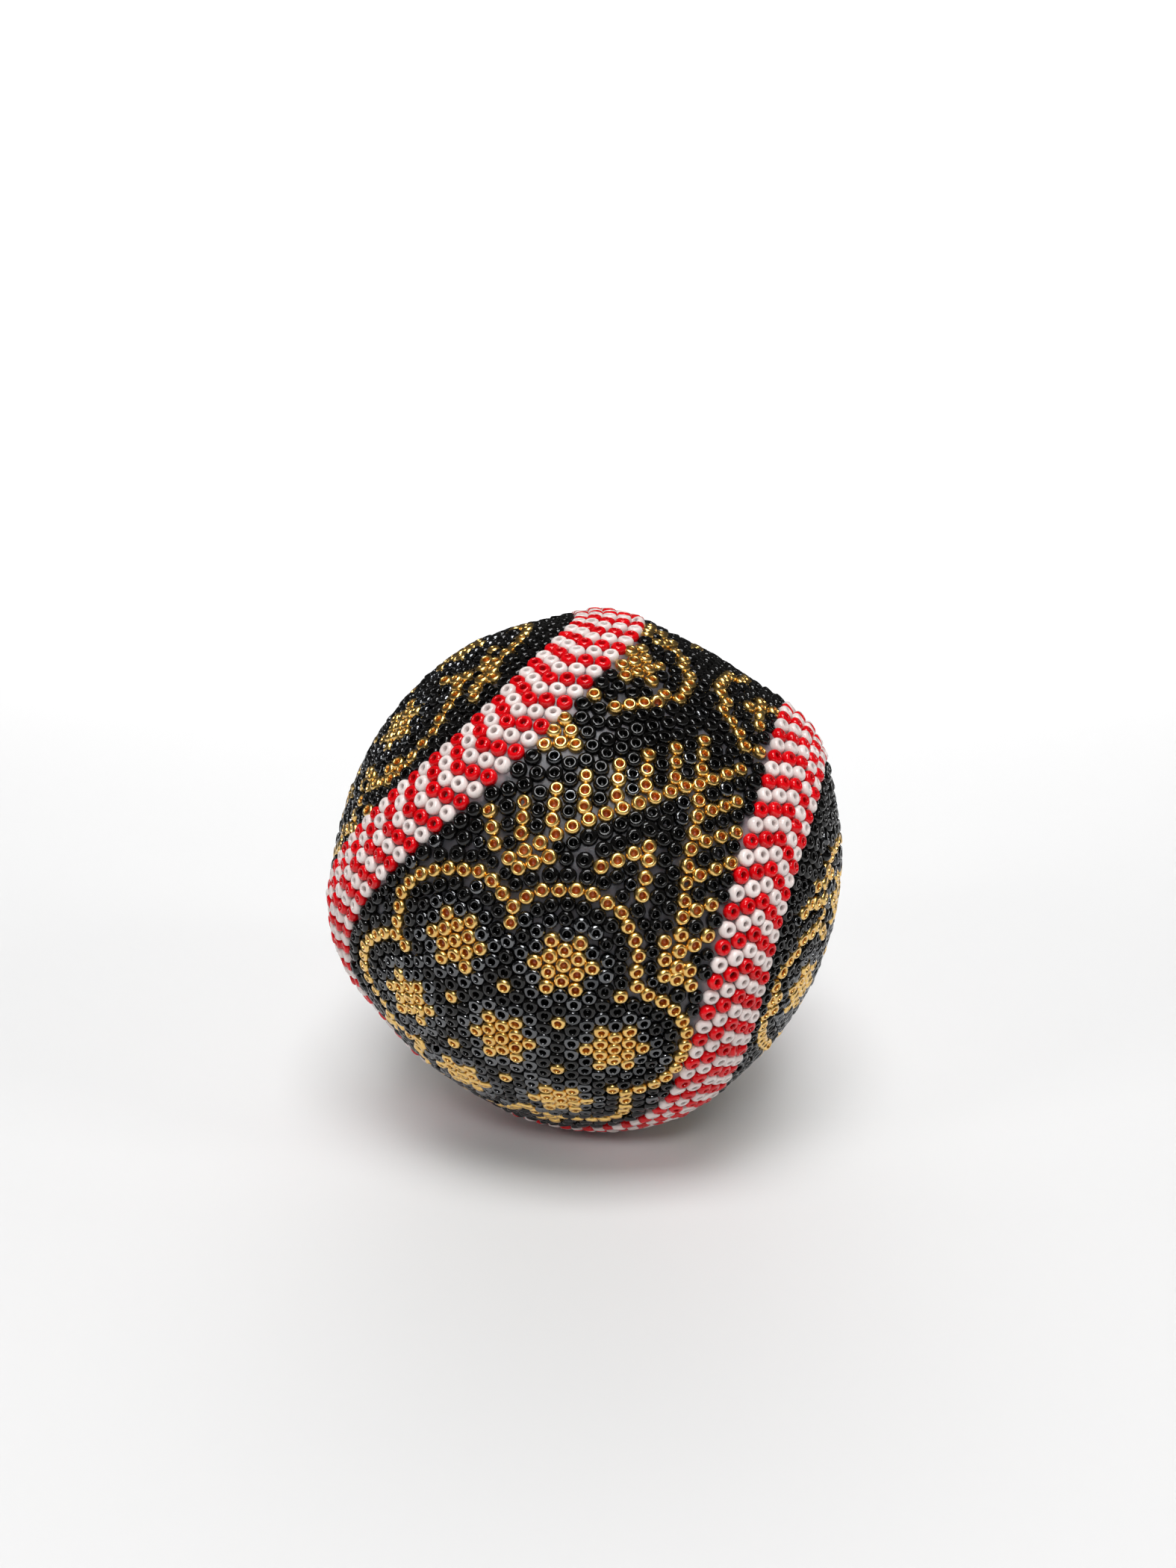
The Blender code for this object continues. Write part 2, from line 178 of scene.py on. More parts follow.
def beside_seam(distance, angle):
    """Directions at arc lengths along the seam and angles beside it, positive into panel a."""
    distance = np.asarray(distance) % SEAM_LENGTH
    place = np.searchsorted(SEAM_LENGTHS, distance, side="right") - 1
    part = (distance - SEAM_LENGTHS[place]) / (SEAM_LENGTHS[place + 1] - SEAM_LENGTHS[place])
    after = (place + 1) % len(SEAM)
    point = unit(SEAM[place] * (1 - part)[:, None] + SEAM[after] * part[:, None])
    side = unit(SEAM_SIDE[place] * (1 - part)[:, None] + SEAM_SIDE[after] * part[:, None])
    angle = np.asarray(angle)[:, None]
    return point * np.cos(angle) + side * np.sin(angle)


def seam_offset(points):
    """Angle from the seam of each direction, positive in panel a."""
    offsets = np.empty(len(points))
    for start in range(0, len(points), SEAM_CHUNK):
        chunk = points[start : start + SEAM_CHUNK]
        nearest = np.argmax(chunk @ SEAM.T, axis=1)
        sign = np.sign((chunk * SEAM_SIDE[nearest]).sum(1))
        offsets[start : start + SEAM_CHUNK] = angles((chunk * SEAM[nearest]).sum(1)) * sign
    return offsets


def bead_top(points, offsets):
    """Radius of the bead tops at directions and their angles from the seam."""
    top = PANEL_R + RIDGE_HEIGHT * np.exp(-((offsets * PANEL_R / RIDGE_SPREAD) ** 2))
    for polar, azimuth, height, spread in LUMPS:
        centre = direction(math.radians(polar), math.radians(azimuth))
        away = np.degrees(angles(points @ centre))
        top += height * MM * np.exp(-((away / spread) ** 2))
    return top


class Patch:
    """A local map of the ball, in degrees: x to the right and y upwards, seen from outside."""

    def __init__(self, polar, azimuth, turn=None):
        polar, azimuth = math.radians(polar), math.radians(azimuth)
        turn = np.eye(3) if turn is None else turn
        self.out = turn @ direction(polar, azimuth)
        self.up = turn @ direction(polar - math.pi / 2, azimuth)
        self.right = np.cross(self.up, self.out)

    def place(self, spots):
        """Directions of (x, y) spots."""
        spots = np.radians(np.asarray(spots, float).reshape(-1, 2))
        angle = np.linalg.norm(spots, axis=1)
        scale = np.where(angle > 1e-9, np.sin(angle) / np.maximum(angle, 1e-9), 1.0)
        flat = self.right * spots[:, :1] + self.up * spots[:, 1:]
        return self.out * np.cos(angle)[:, None] + flat * scale[:, None]


def half_turn(axis):
    """Matrix of a half turn about an axis."""
    axis = unit(np.array(axis, float))
    return 2 * np.outer(axis, axis) - np.eye(3)


TO_PANEL_B = half_turn((1, 1, 0))
LOBE_TURNS = {
    "a1": np.eye(3),
    "a2": half_turn((0, 0, 1)),
    "b1": TO_PANEL_B,
    "b2": TO_PANEL_B @ half_turn((0, 0, 1)),
}
PANEL_TURNS = {"a": np.eye(3), "b": TO_PANEL_B}


# ---- laying the beads ----


class Layout:
    """All beads: directions, kinds, relative sizes and which hold their place while others settle."""

    def __init__(self):
        self.points = np.empty((0, 3))
        self.kinds = np.empty(0, int)
        self.held = np.empty(0, bool)
        self.sizes = None

    def add(self, points, kind, held=True, clear=0.0):
        """Lay beads; with clear, leave out those nearer than that many pitches to a laid bead."""
        points = np.asarray(points).reshape(-1, 3)
        if clear and len(self.points) and len(points):
            near = (points @ self.points.T).max(axis=1)
            points = points[near < math.cos(math.radians(clear * PITCH))]
        self.points = np.vstack([self.points, points])
        self.kinds = np.concatenate([self.kinds, np.full(len(points), kind)])
        self.held = np.concatenate([self.held, np.full(len(points), held)])

    def keep(self, mask):
        """Keep only the beads of a mask."""
        self.points, self.kinds, self.held = self.points[mask], self.kinds[mask], self.held[mask]


def along_route(patch, spots):
    """Directions evenly spaced along a route through (x, y) spots."""
    corners = patch.place(spots)
    steps = angles((corners[:-1] * corners[1:]).sum(1))
    lengths = np.concatenate([[0], np.cumsum(steps)])
    count = max(1, round(lengths[-1] / math.radians(PITCH)))
    wanted = np.linspace(0, lengths[-1], count + 1)
    return unit(np.stack([np.interp(wanted, lengths, corners[:, i]) for i in range(3)], -1))


def lay_band(layout):
    """Rows of five beads, red and white in turn, in chevrons along the whole seam."""
    knots = np.array([0, BAND_KNOT_ROW, BAND_ROWS])
    places = np.array([BAND_START, BAND_KNOT, BAND_START + SEAM_LENGTH])
    for row in range(BAND_ROWS):
        for spot, lead in enumerate(CHEVRON_LEAD):
            along = np.interp((row - lead) % BAND_ROWS, knots, places)
            across = math.radians(BAND_SHIFT + (spot - 2) * BAND_PITCH)
            kind = WHITE if row % 2 == 0 else RED
            layout.add(beside_seam([along], [across]), kind)


# The scalloped outline of a lobe's flower field, clockwise from the cusp left of the tall arch
OUTLINE = [
    [(-10.8, 26.8), (-9.8, 29.6), (-7.8, 32.6), (-4, 35), (0, 37.2), (5, 37.2), (10, 36.6), (12, 33.8)],
    [(14.7, 32.6), (16.6, 29.8), (17.6, 26.6)],
    [(19.6, 23.6), (25.5, 22.9), (29.6, 21.4), (33.6, 18), (35.7, 12.5), (36.6, 7), (35.6, 1)],
    [(33.4, -2), (30.8, -5.2), (32.6, -9.7), (34.4, -13.8), (33.6, -19), (31, -23.5), (26.5, -26.5)],
    [(23.2, -27.6), (17.5, -26.8), (13.6, -23.6)],
    [(13.2, -27.2), (11.8, -33), (8, -36.6), (1.7, -38.3), (-5, -38.4), (-10.4, -35.6), (-13.4, -30)],
    [(-13.3, -26), (-12.6, -22)],
    [(-15.6, -24.4), (-19.2, -25.7), (-23.3, -25.4), (-26.4, -22.4), (-30, -20.6), (-32.8, -18.4)],
    [(-34.4, -15.2), (-35.2, -10.5), (-34.5, -5.8), (-32.4, -0.8), (-29.3, 2.4)],
    [(-30.6, 5.8), (-32.8, 12.5), (-31.2, 18.2), (-27.6, 23.2), (-24, 25.8)],
    [(-20, 28.4), (-16.6, 28.2), (-13.6, 27.4)],
]
OUTLINE_B1 = OUTLINE[:5] + [
    [(13.2, -27.2), (11.8, -33), (8, -36.4), (1.7, -38.6), (-4.6, -38.8), (-9.4, -37.4), (-13.6, -35)],
    [(-14.8, -31.6), (-15.8, -28.4), (-14.8, -25)],
    [(-17.8, -25.8), (-21, -26), (-24, -24.2), (-26, -21.8), (-29.4, -20.6), (-31.4, -17.4)],
    [(-33, -13.8), (-34.4, -10.4), (-35, -7), (-33, -3.6), (-31, -0.8), (-29.2, 2.2)],
] + OUTLINE[9:]
OUTLINE_B2 = OUTLINE[:2] + [
    [(18.2, 20.6), (18.6, 16.6), (21.2, 12.6), (24.2, 10.4), (27.2, 8.5), (30, 6.3), (32.4, 3.4)],
    [(34.2, 0.4), (35.2, -2.6), (34.9, -5.6), (34.8, -8.8), (33, -12.6), (31.4, -15.8)],
    [(27.8, -15.8), (25.6, -19), (22, -19.2), (18.8, -19.6), (16.2, -20.6)],
    [(15.2, -23.4), (14.8, -27), (13.8, -30.2), (10.6, -32.4), (6.3, -33.2), (2.7, -33.4), (-4.4, -30.7)],
] + OUTLINE[7:]
OUTLINES = {"a1": OUTLINE, "a2": OUTLINE, "b1": OUTLINE_B1, "b2": OUTLINE_B2}

# Gold beads beside each lobe's outline: tails in its cusps, doubled stretches and loose clusters
CUSP_TAILS = [[(-9.6, 23.8)], [(17.2, 21)]]
SIDE_TAILS = [[(-26.2, 2.2)], [(27.6, -4.7)]]
TIP_CLUSTERS = [
    [(-23.6, -32.6), (-20.4, -32.6), (-22, -29.4)],
    [(20.4, -33.6), (23.6, -33.6), (22, -30.4)],
]
B1_FIGURES = [
    [(-26.4, 0.8), (-23.6, 2.2)],
    [(-25.2, 4.8)],
    [(-31.6, -9), (-31, -6)],
    [(-38.8, -1.2), (-36.8, 2)],
    [(-38.2, 5.6), (-35.8, 9)],
    [(-35.4, 14.4), (-33.4, 17.4)],
    [(-13.2, -22)],
    [(-11.8, -32)],
    [(-25.6, -30.6), (-22.4, -30.4), (-19.4, -31.8)],
    [(-20.6, -34.8), (-17.2, -34.2)],
]
B2_FIGURES = [
    [(13.2, -15.4), (15.4, -17.8)],
    [(32.1, -3.8), (32, -7)],
    [(18.9, -25.4), (22, -26.4), (25, -25.4)],
    [(18.6, -29.4)],
    [(10.4, -29)],
]
FIGURES = {
    "a1": CUSP_TAILS + SIDE_TAILS + TIP_CLUSTERS,
    "a2": CUSP_TAILS + SIDE_TAILS + TIP_CLUSTERS,
    "b1": CUSP_TAILS + B1_FIGURES + TIP_CLUSTERS[1:],
    "b2": CUSP_TAILS[:1] + SIDE_TAILS[:1] + B2_FIGURES + TIP_CLUSTERS[:1],
}

# The tent over the field: two spines that meet, with teeth of two or three beads on their outer side
LEFT_SPINE = [(8.2, 64.9), (1.3, 58), (-8.2, 47.8), (-13.2, 40.2), (-17, 33.8)]
RIGHT_SPINE = [(11.2, 66.8), (13.9, 60.7), (16.6, 50.8), (20.7, 40.7), (24.9, 30.8)]
LEFT_TEETH = [
    [(4.9, 65.7), (1.7, 71.8)],
    [(-0.3, 60.9), (-3.5, 67)],
    [(-4.9, 56.1), (-8.2, 61.7)],
    [(-9.7, 50.7), (-13.2, 55.9)],
    [(-13.9, 44.9), (-17, 50.2)],
    [(-17.8, 39.2), (-21.2, 44.2)],
    [(-21.2, 34.2), (-26.1, 38.4)],
]
RIGHT_TEETH = [
    [(13.8, 69.2), (19.9, 74.2)],
    [(16.6, 62.8), (21.7, 66.6)],
    [(18.3, 56.3), (24.1, 60.3)],
    [(20.2, 49.5), (25.5, 53.9)],
    [(22.8, 42.8), (25.3, 44.9)],
    [(25.8, 36.2), (27.6, 38.8)],
]
TENT_STROKES = [
    [(10.2, 70.3), (7.6, 77.1)],
    [(0.2, 42.6), (3.3, 46), (7.4, 50.9), (10.7, 41.5)],
    [(-10, 38.8), (-14.2, 33.5)],
    [(19.7, 34.8), (23.2, 28.2)],
    [(25.9, 28.4), (29.3, 28)],
    [(27.4, 31.1)],
]
CORNER_TRIANGLE = [(-25.3, 62.2), (-22.3, 61.2), (-19.4, 59.6), (-25.6, 58.8), (-22.5, 57.9), (-25.2, 55.4)]
CORNER_BEADS = [(-23.8, 70.9)]

# The medallions on a panel's waist, in a map of the waist whose y points to the panel's second lobe
WAIST_STROKES = [
    [(-13.2, -1.4), (-9.8, 2), (-6.6, 4.8), (-6, 8.4)],
    [(-2.9, 9.2), (-2.7, 13), (-2.7, 18.4), (-5.6, 20), (-5.9, 23.6), (-8.4, 26), (-11.8, 27.4)],
    [(16.3, 8.2), (13.3, 7.2), (11.2, 9.8), (8.4, 12), (5.8, 13.9)]
    + [(6.2, 17.6), (3.2, 19.4), (3.4, 23), (4.6, 31)],
    [(7.6, 31), (8.6, 37)],
    [(-5.4, 37), (-5.2, 42)],
    [(17.8, 28.4), (17.9, 31.8)],
]
WAIST_FLOWERS = [((-14.8, 13.0), 62.0), ((16.4, 20.6), 96.0), ((-16.4, 29.8), 96.0)]
WAIST_CENTRE = 25.0

# Each lobe's flower lattice: the middle of one flower and the direction from there to the next
LATTICES = {
    "a1": ((1.1, -0.6), 83.2),
    "a2": ((0.5, 0.4), 86.0),
    "b1": ((3.0, 0.6), 84.0),
    "b2": ((19.9, -4.7), 104.1),
}
LATTICE_REACH = 16  # steps from that flower that cover a whole field
FLOWER_SPACING = 4 * math.sqrt(3)
FLOWER_RADIUS = 1.8  # its 13 beads lie nearer than this to its middle, in pitches
HALO_RADIUS = 2.7  # the beads round a flower are hematite out to here
DOT_RADIUS = 4.0  # the single gold beads lie this far from three flowers


def lattice_kind(i, j):
    """Kind of the bead at a step of the hexagonal lattice, from how far the nearest flower's middle is."""
    x = i + 0.5 * j
    y = j * math.sqrt(3) / 2
    nearest = math.inf
    for m in range(-3, 4):
        for n in range(-3, 4):
            flower_x = FLOWER_SPACING * math.sqrt(3) / 2 * m
            flower_y = FLOWER_SPACING * (n + 0.5 * m)
            nearest = min(nearest, math.hypot(x - flower_x, y - flower_y))
    if nearest < FLOWER_RADIUS or abs(nearest - DOT_RADIUS) < 0.05:
        return GOLD
    return HEMATITE if nearest < HALO_RADIUS else JET


def inside(spots, outline):
    """Whether (x, y) spots lie inside a closed outline."""
    x, y = spots[:, 0], spots[:, 1]
    result = np.zeros(len(spots), bool)
    for (x0, y0), (x1, y1) in zip(outline, outline[1:] + outline[:1]):
        crosses = (y0 > y) != (y1 > y)
        result ^= crosses & (x < (x1 - x0) * (y - y0) / (y1 - y0 + 1e-12) + x0)
    return result


def lay_tent(layout, patch):
    """The tent's gold strokes, with a row of black beads between each two teeth."""
    for spots in [LEFT_SPINE, RIGHT_SPINE] + LEFT_TEETH + RIGHT_TEETH + TENT_STROKES:
        beads = patch.place(spots) if len(spots) == 1 else along_route(patch, spots)
        layout.add(beads, GOLD, clear=STROKE_CLEAR)
    for teeth in (LEFT_TEETH, RIGHT_TEETH):
        for (base, tip), (next_base, next_tip) in zip(teeth, teeth[1:]):
            foot = np.add(base, next_base) / 2
            end = np.add(tip, next_tip) / 2
            reach = end + (end - foot) * 0.5
            layout.add(along_route(patch, [foot, reach]), JET, held=False, clear=TOOTH_GAP_CLEAR)


def lay_lattice(layout, patch, name, ring):
    """A lobe's flowers and the beads between them, on one lattice inside the gold ring."""
    centre, turn = LATTICES[name]
    turn = math.radians(turn - 90)
    across = np.array([math.cos(turn), math.sin(turn)]) * PITCH
    upward = np.array([math.cos(turn + math.pi / 3), math.sin(turn + math.pi / 3)]) * PITCH
    steps, kinds = [], []
    for i in range(-LATTICE_REACH, LATTICE_REACH + 1):
        for j in range(-LATTICE_REACH, LATTICE_REACH + 1):
            steps.append(np.array(centre) + i * across + j * upward)
            kinds.append(lattice_kind(i, j))
    steps, kinds = np.array(steps), np.array(kinds)
    within = inside(steps, ring)
    for kind in (GOLD, HEMATITE, JET):
        chosen = steps[within & (kinds == kind)]
        layout.add(patch.place(chosen), kind, held=kind == GOLD, clear=LATTICE_CLEAR)


def lay_lobe(layout, name):
    """A lobe's outline, figures, tent and flower field."""
    patch = Patch(LOBE_CENTRE, -90, LOBE_TURNS[name])
    ring = [spot for part in OUTLINES[name] for spot in part]
    layout.add(along_route(patch, ring + ring[:1])[:-1], GOLD)
    for spots in FIGURES[name] + [CORNER_TRIANGLE, CORNER_BEADS]:
        layout.add(patch.place(spots), GOLD, clear=FIGURE_CLEAR)
    lay_tent(layout, patch)
    lay_lattice(layout, patch, name, ring)


def lay_waist(layout, panel):
    """The medallions on a panel's waist: flowers with a gold line round each."""
    patch = Patch(WAIST_CENTRE, -90, PANEL_TURNS[panel])
    for spots in WAIST_STROKES:
        layout.add(along_route(patch, spots), GOLD, clear=WAIST_CLEAR)
    for (x, y), turn in WAIST_FLOWERS:
        petals = [(x, y)]
        for i in range(6):
            angle = math.radians(turn + 60 * i)
            petals.append((x + PITCH * math.cos(angle), y + PITCH * math.sin(angle)))
            angle += math.pi / 6
            reach = PITCH * math.sqrt(3)
            petals.append((x + reach * math.cos(angle), y + reach * math.sin(angle)))
        layout.add(patch.place(petals), GOLD, clear=STROKE_CLEAR)


def spread_points(count):
    """Directions spread evenly over the whole ball."""
    i = np.arange(count) + 0.5
    return direction(np.arccos(1 - 2 * i / count), math.pi * (1 + math.sqrt(5)) * i)


BAND_EDGE = math.radians(2.5 * BAND_PITCH + EDGE_GAP * PITCH)
BAND_MIDDLE = unit(
    SEAM * math.cos(math.radians(BAND_SHIFT)) + SEAM_SIDE * math.sin(math.radians(BAND_SHIFT))
)


def cosines_to_others(layout, part):
    """Cosines between some beads and all beads, with -1 between a bead and itself."""
    cosine = layout.points[part] @ layout.points.T
    cosine[np.arange(len(part)), part] = -1
    return cosine


def settle(layout, rounds):
    """Push beads that don't hold their place apart until each has its own room."""
    wanted = math.radians(PITCH * SETTLED)
    reach = math.cos(wanted)
    longest_move = 0.3 * wanted
    for _ in range(rounds):
        free = np.nonzero(~layout.held)[0]
        for start in range(0, len(free), BEAD_CHUNK):
            part = free[start : start + BEAD_CHUNK]
            points = layout.points[part]
            cosine = cosines_to_others(layout, part)
            rows, others = np.nonzero(cosine > reach)
            away = unit(points[rows] - layout.points[others] + 1e-9)
            share = np.where(layout.held[others], 0.9, 0.5)
            push = away * ((wanted - angles(cosine[rows, others])) * share)[:, None]
            move = np.zeros_like(points)
            np.add.at(move, rows, push)
            length = np.linalg.norm(move, axis=1, keepdims=True)
            move *= np.minimum(1.0, longest_move / np.maximum(length, 1e-12))
            layout.points[part] = unit(points + move)


def touching_both(first, others, apart):
    """Directions that lie the given angle from one bead and from each of some others."""
    cosine = others @ first
    middle = math.cos(apart) / (1 + cosine)
    normal = np.cross(first, others)
    left_over = np.maximum(1 - middle**2 * (2 + 2 * cosine), 0)
    sideways = np.sqrt(left_over) / np.linalg.norm(normal, axis=1)
    base = middle[:, None] * (first + others)
    return np.vstack([base + sideways[:, None] * normal, base - sideways[:, None] * normal])


def nestle(layout):
    """Lay black beads against two beads at a time, working outwards from those already laid."""
    apart = math.radians(PITCH)
    near_band = math.cos(BAND_EDGE)
    band_line = BAND_MIDDLE[::6]  # its points are so close that every sixth will do
    too_close = math.cos(TOUCHING * apart)
    points = np.zeros((MOST_BEADS, 3))
    count = len(layout.points)
    points[:count] = layout.points
    held = count
    current = 0
    while current < count:
        bead = points[current]
        cosine = points[:count] @ bead
        cosine[current] = -1
        others = points[:count][cosine > math.cos(NESTLE_REACH * apart)]
        spots = touching_both(bead, others, apart) if len(others) else np.empty((0, 3))
        current += 1
        if not len(spots):
            continue
        spots = spots[(spots @ band_line.T).max(axis=1) < near_band]
        spots = spots[(spots @ points[:count].T).max(axis=1) < too_close]
        if not len(spots):
            continue
        contacts = (spots @ points[:count].T > math.cos(CONTACT * apart)).sum(axis=1)
        for spot in spots[np.argsort(-contacts, kind="stable")]:
            if (points[held:count] @ spot).max(initial=-1) < too_close:
                points[count] = spot
                count += 1
    layout.add(points[held:count], JET, held=False)


def fill_gaps(layout, candidates, room):
    """Lay a black bead at each candidate that has the given room, the most open ones first."""
    nearest = np.empty(len(candidates))
    for start in range(0, len(candidates), SPOT_CHUNK):
        chunk = candidates[start : start + SPOT_CHUNK]
        nearest[start : start + SPOT_CHUNK] = (chunk @ layout.points.T).max(axis=1)
    limit = math.cos(math.radians(room * PITCH))
    open_spots = candidates[nearest < limit]
    open_spots = open_spots[np.argsort(nearest[nearest < limit], kind="stable")]
    while len(open_spots):
        first = open_spots[0]
        layout.add(first, JET, held=False)
        open_spots = open_spots[open_spots @ first < limit]


def fill(layout):
    """Black beads in the space that is left: bead against bead, then wherever one more fits."""
    nestle(layout)
    settle(layout, FIRST_ROUNDS)
    candidates = spread_points(GAP_SPOTS)
    candidates = candidates[np.abs(seam_offset(candidates) - math.radians(BAND_SHIFT)) > BAND_EDGE]
    for room in GAP_ROOMS:
        fill_gaps(layout, candidates, room)
        settle(layout, LATER_ROUNDS)
        layout.keep(~crowded_beads(layout))
    fill_gaps(layout, candidates, LAST_GAP)


def crowded_beads(layout):
    """Free beads that still lie too close to an earlier or a held bead."""
    free = np.nonzero(~layout.held)[0]
    crowded = np.zeros(len(layout.points), bool)
    close = math.cos(math.radians(CROWDED * PITCH))
    for start in range(0, len(free), BEAD_CHUNK):
        part = free[start : start + BEAD_CHUNK]
        rows, others = np.nonzero(cosines_to_others(layout, part) > close)
        loses = layout.held[others] | (others < part[rows])
        crowded[part[rows[loses]]] = True
    return crowded


def fit_sizes(layout):
    """Relative size of each bead: smaller ones sit where there is less room."""
    layout.sizes = np.ones(len(layout.points))
    black = np.nonzero(layout.kinds <= HEMATITE)[0]
    for start in range(0, len(black), BEAD_CHUNK):
        part = black[start : start + BEAD_CHUNK]
        room = np.degrees(angles(cosines_to_others(layout, part).max(axis=1))) / PITCH
        layout.sizes[part] = np.clip(room * FULLEST, LAST_GAP, FULLEST)


def lay_beads():
    """All beads of the ball."""
    layout = Layout()
    lay_band(layout)
    for name in LOBE_TURNS:
        lay_lobe(layout, name)
    for panel in PANEL_TURNS:
        lay_waist(layout, panel)
    fill(layout)
    loose_jet = (layout.kinds == JET) & ~layout.held
    layout.kinds[loose_jet & (RNG.random(len(layout.kinds)) < HEMATITE_SHARE)] = HEMATITE
    fit_sizes(layout)
    return layout


# ---- bead meshes ----


def bead_section():
    """Rings of a bead from its underside over its crest into its hole.

    Each row is the place across the glass (0 at the hole, 1 at the rim), the height and how much painted
    shade the hole's glass gets there.
    """
    rows = []
    power = 2 / OUTSIDE_SQUARENESS
    for degrees in OUTSIDE_ANGLES:
        angle = math.radians(degrees)
        c, s = math.cos(angle), math.sin(angle)
        rows.append((CREST + (1 - CREST) * c**power, math.copysign(abs(s) ** power, s), 0.0))
    # The hole's sides take a quarter of the painted shade, its floor all of it.
    for degrees in INSIDE_ANGLES:
        angle = math.radians(degrees)
        rows.append((CREST * (1 + math.cos(angle)), abs(math.sin(angle)) ** power, 0.25))
    rows.append((0.0, HOLE_FLOOR, 1.0))
    return np.array(rows)


def bead_faces(count, rings):
    """Faces of closed beads: rings of points, then a point under the bead and one on the hole's floor."""
    per_bead = RING_SEGMENTS * rings + 2
    u, v = np.meshgrid(np.arange(RING_SEGMENTS), np.arange(rings - 1), indexing="ij")
    u2 = (u + 1) % RING_SEGMENTS
    quads = np.stack([u * rings + v, u2 * rings + v, u2 * rings + v + 1, u * rings + v + 1], -1)
    around = np.arange(RING_SEGMENTS)
    ahead = (around + 1) % RING_SEGMENTS
    below = np.full(RING_SEGMENTS, per_bead - 2)
    floor = np.full(RING_SEGMENTS, per_bead - 1)
    under = np.stack([ahead * rings, around * rings, below], -1)
    inner = np.stack([around * rings + rings - 1, ahead * rings + rings - 1, floor], -1)
    starts = (np.arange(count) * per_bead)[:, None, None]
    quads = (quads.reshape(1, -1, 4) + starts).reshape(-1, 4)
    tris = (np.vstack([under, inner])[None] + starts).reshape(-1, 3)
    return quads, tris


def fill_mesh(name, verts, quads, tris):
    """A smooth mesh of quads and triangles."""
    mesh = bpy.data.meshes.new(name)
    mesh.vertices.add(len(verts))
    mesh.vertices.foreach_set("co", verts.astype(np.float32).ravel())
    corners = np.concatenate([quads.ravel(), tris.ravel()])
    starts = np.concatenate([np.arange(len(quads)) * 4, quads.size + np.arange(len(tris)) * 3])
    mesh.loops.add(len(corners))
    mesh.loops.foreach_set("vertex_index", corners.astype(np.int32))
    mesh.polygons.add(len(starts))
    mesh.polygons.foreach_set("loop_start", starts.astype(np.int32))
    mesh.polygons.foreach_set("use_smooth", np.ones(len(starts), bool))
    mesh.update(calc_edges=True)
    return mesh


def bead_shapes(kind, section, sizes):
    """Points of each bead about its own middle, ring by ring and then its two poles."""
    count = len(sizes)
    outer, hole, height = (size * MM for size in BEAD_SIZES[kind])
    ring = 2 * math.pi * np.arange(RING_SEGMENTS) / RING_SEGMENTS
    size = sizes[:, None, None] + RNG.normal(0, SIZE_SPREAD, (count, 1, 1))
    tall = 1 + RNG.normal(0, HEIGHT_SPREAD, (count, 1, 1))
    bore = 1 + RNG.normal(0, HOLE_SPREAD, (count, 1, 1))
    oval = 1 + RNG.normal(0, OVAL_SPREAD, (count, 1, 1)) * np.cos(2 * ring)[None, :, None]
    radial = (hole * bore + (outer * size - hole * bore) * section[None, None, :, 0]) * oval
    lift = height / 2 * tall * section[None, None, :, 1] * np.ones((1, RING_SEGMENTS, 1))
    x = radial * np.cos(ring)[None, :, None]
    y = radial * np.sin(ring)[None, :, None]
    rings = np.stack([x, y, lift], -1).reshape(count, -1, 3)
    poles = np.zeros((count, 2, 3))
    poles[:, 0, 2] = lift[:, 0, 0]
    poles[:, 1, 2] = lift[:, 0, -1] - HOLE_DISH
    return np.concatenate([rings, poles], 1)


def bead_frames(points):
    """Axes of each bead, its third axis almost straight out; a few beads lie tipped over."""
    count = len(points)
    lean = RNG.normal(0, LEAN_SPREAD, (count, 3))
    tipped = RNG.random(count) < TIPPED_SHARE
    lean[tipped] *= TIPPED_LEAN
    axis = unit(points + lean - points * (lean * points).sum(1, keepdims=True))
    side = unit(np.cross(axis, RNG.normal(0, 1, (count, 3))))
    return np.stack([side, np.cross(axis, side), axis], 1)


def bead_mesh(name, points, kind, offsets, sizes):
    """One mesh that holds a ring of glass for each bead, each a little different from the next."""
    count = len(points)
    section = bead_section()
    rings = len(section)
    local = bead_shapes(kind, section, sizes)
    frames = bead_frames(points)
    top = bead_top(points, offsets) + RNG.normal(0, TOP_SPREAD, count)
    centre = points * (top - BEAD_SIZES[kind][2] * MM / 2)[:, None]
    verts = (np.einsum("nvi,nij->nvj", local, frames) + centre[:, None]).reshape(-1, 3)
    quads, tris = bead_faces(count, rings)
    mesh = fill_mesh(name, verts @ SEAM_TURN.T, quads, tris)
    # The floors of the gilt beads' holes take the second material, their painted shade and reflection.
    if kind == GOLD:
        in_hole = np.zeros(len(quads) + len(tris), np.int32)
        in_hole[len(quads) :] = np.tile(np.repeat([0, 1], RING_SEGMENTS), count)
        mesh.polygons.foreach_set("material_index", in_hole)

    tone = np.repeat(RNG.random(count), RING_SEGMENTS * rings + 2)
    # How much of the painted shade colour each point takes, most on the hole's floor.
    hole_shade = np.tile(np.append(np.tile(section[:, 2], RING_SEGMENTS), (0, 1)), count)
    for label, values in (("tone", tone), ("bore", hole_shade)):
        layer = mesh.attributes.new(label, "FLOAT", "POINT")
        layer.data.foreach_set("value", values.astype(np.float32))
    return mesh


# ---- materials ----


def new_material(name):
    """A material with its node tree and its shader."""
    material = bpy.data.materials.new(name)
    material.use_nodes = True
    tree = material.node_tree
    return material, tree, tree.nodes["Principled BSDF"]


def attribute(tree, name):
    """A number stored at each point of a mesh."""
    node = tree.nodes.new("ShaderNodeAttribute")
    node.attribute_name = name
    return node.outputs["Fac"]


